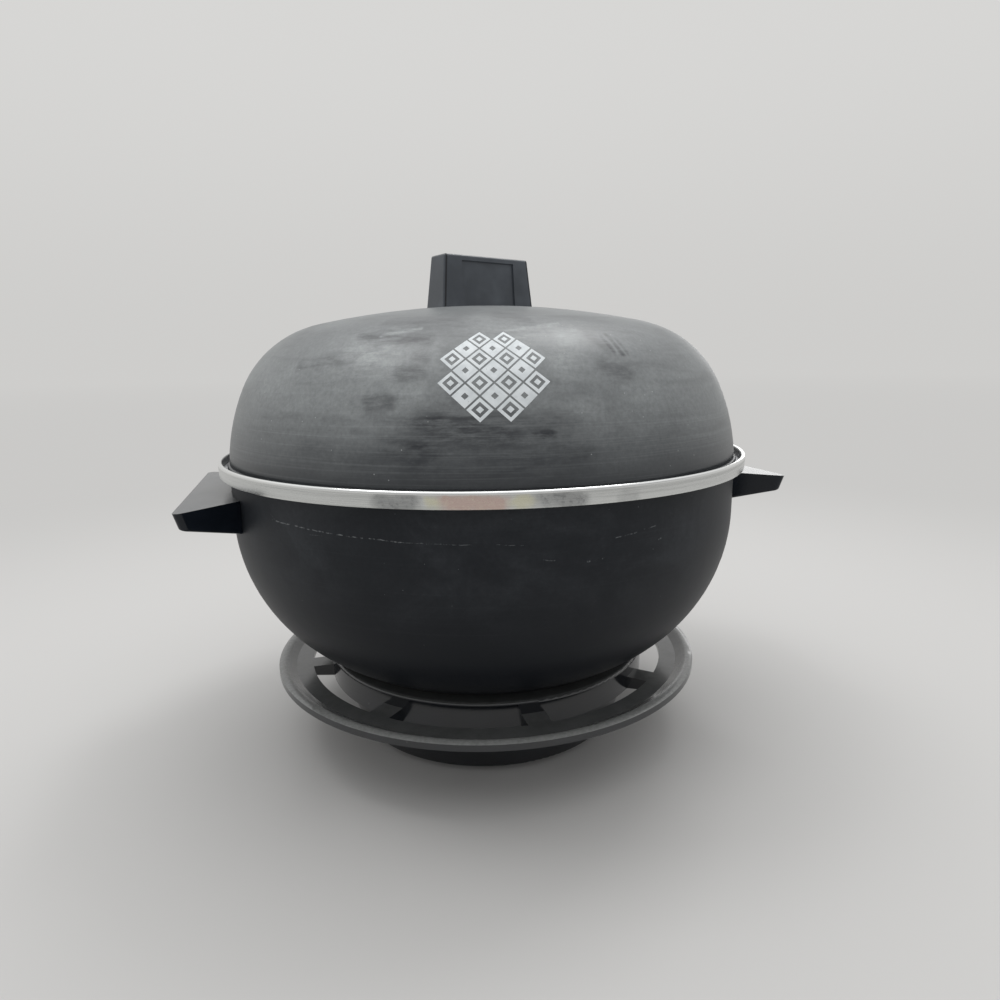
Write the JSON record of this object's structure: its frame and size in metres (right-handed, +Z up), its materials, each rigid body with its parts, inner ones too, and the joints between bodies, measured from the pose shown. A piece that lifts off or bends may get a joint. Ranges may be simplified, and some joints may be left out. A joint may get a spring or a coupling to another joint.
{
  "type": "electric bun warmer",
  "caption": "Round table-top bun warmer: black bowl with a bright rim band, lift-off domed lid with block knob, side handles and a spoked heating base.",
  "frame": {"origin": "on the table under the bowl's axis, at the centre of the feet", "axes": "+Z up, +X through the right handle, -Y to the front; the inlet is at the back, +Y"},
  "size_m": [0.2884, 0.262, 0.2417],
  "materials": {
    "painted_lid": "satin black enamel on aluminium, with wipe marks",
    "painted_bowl": "matt black enamel on aluminium, with fine scratches",
    "bright_band": "polished, with a fine turned grain",
    "bare_aluminium": "satin",
    "phenolic": "black phenolic, semi-gloss",
    "base_moulding": "black phenolic, gloss",
    "steel": "zinc plated",
    "brass": "turned",
    "rubber": "matt",
    "ceramic": "glazed ceramic",
    "element_sheath": "heat-tinted sheath",
    "mica": "mineral board",
    "wire_sleeve": "glass-fibre sleeve",
    "inlet_metal": "nickel plated"
  },
  "bodies": {
    "warmer": {"bowl_shell": "painted_bowl", "rim_band": "bright_band", "left_handle": "phenolic", "right_handle": "phenolic", "handle_inserts": "brass", "handle_screws": "steel", "base_plate": "base_moulding", "hub_screws": "steel", "heater_housing": "base_moulding", "bottom_cover": "steel", "cover_screws": "steel", "rubber_feet": "rubber", "bowl_studs": "steel", "stud_nuts": "steel", "stud_washers": "steel", "stud_spacers": "ceramic", "heating_element": "element_sheath", "clamp_plate": "bare_aluminium", "reflector_pan": "bare_aluminium", "insulating_disc": "mica", "thermostat": "ceramic", "thermal_fuse": "ceramic", "fuse_clip": "steel", "lead_wires": "wire_sleeve", "inlet_shroud": "base_moulding", "inlet_pins": "inlet_metal", "inlet_screws": "steel"},
    "lid": {"lid_shell": "painted_lid", "lid_knob": "phenolic", "knob_insert": "brass", "knob_washer": "steel", "knob_screw": "steel"},
    "rack": {"bun_rack": "bare_aluminium"}
  },
  "joints": [
    {"name": "lid_lift", "type": "slide", "parent": "warmer", "child": "lid", "axis": [0, 0, 1], "range_m": [0, 0.2]},
    {"name": "rack_lift", "type": "slide", "parent": "warmer", "child": "rack", "axis": [0, 0, 1], "range_m": [0, 0.11]}
  ]
}
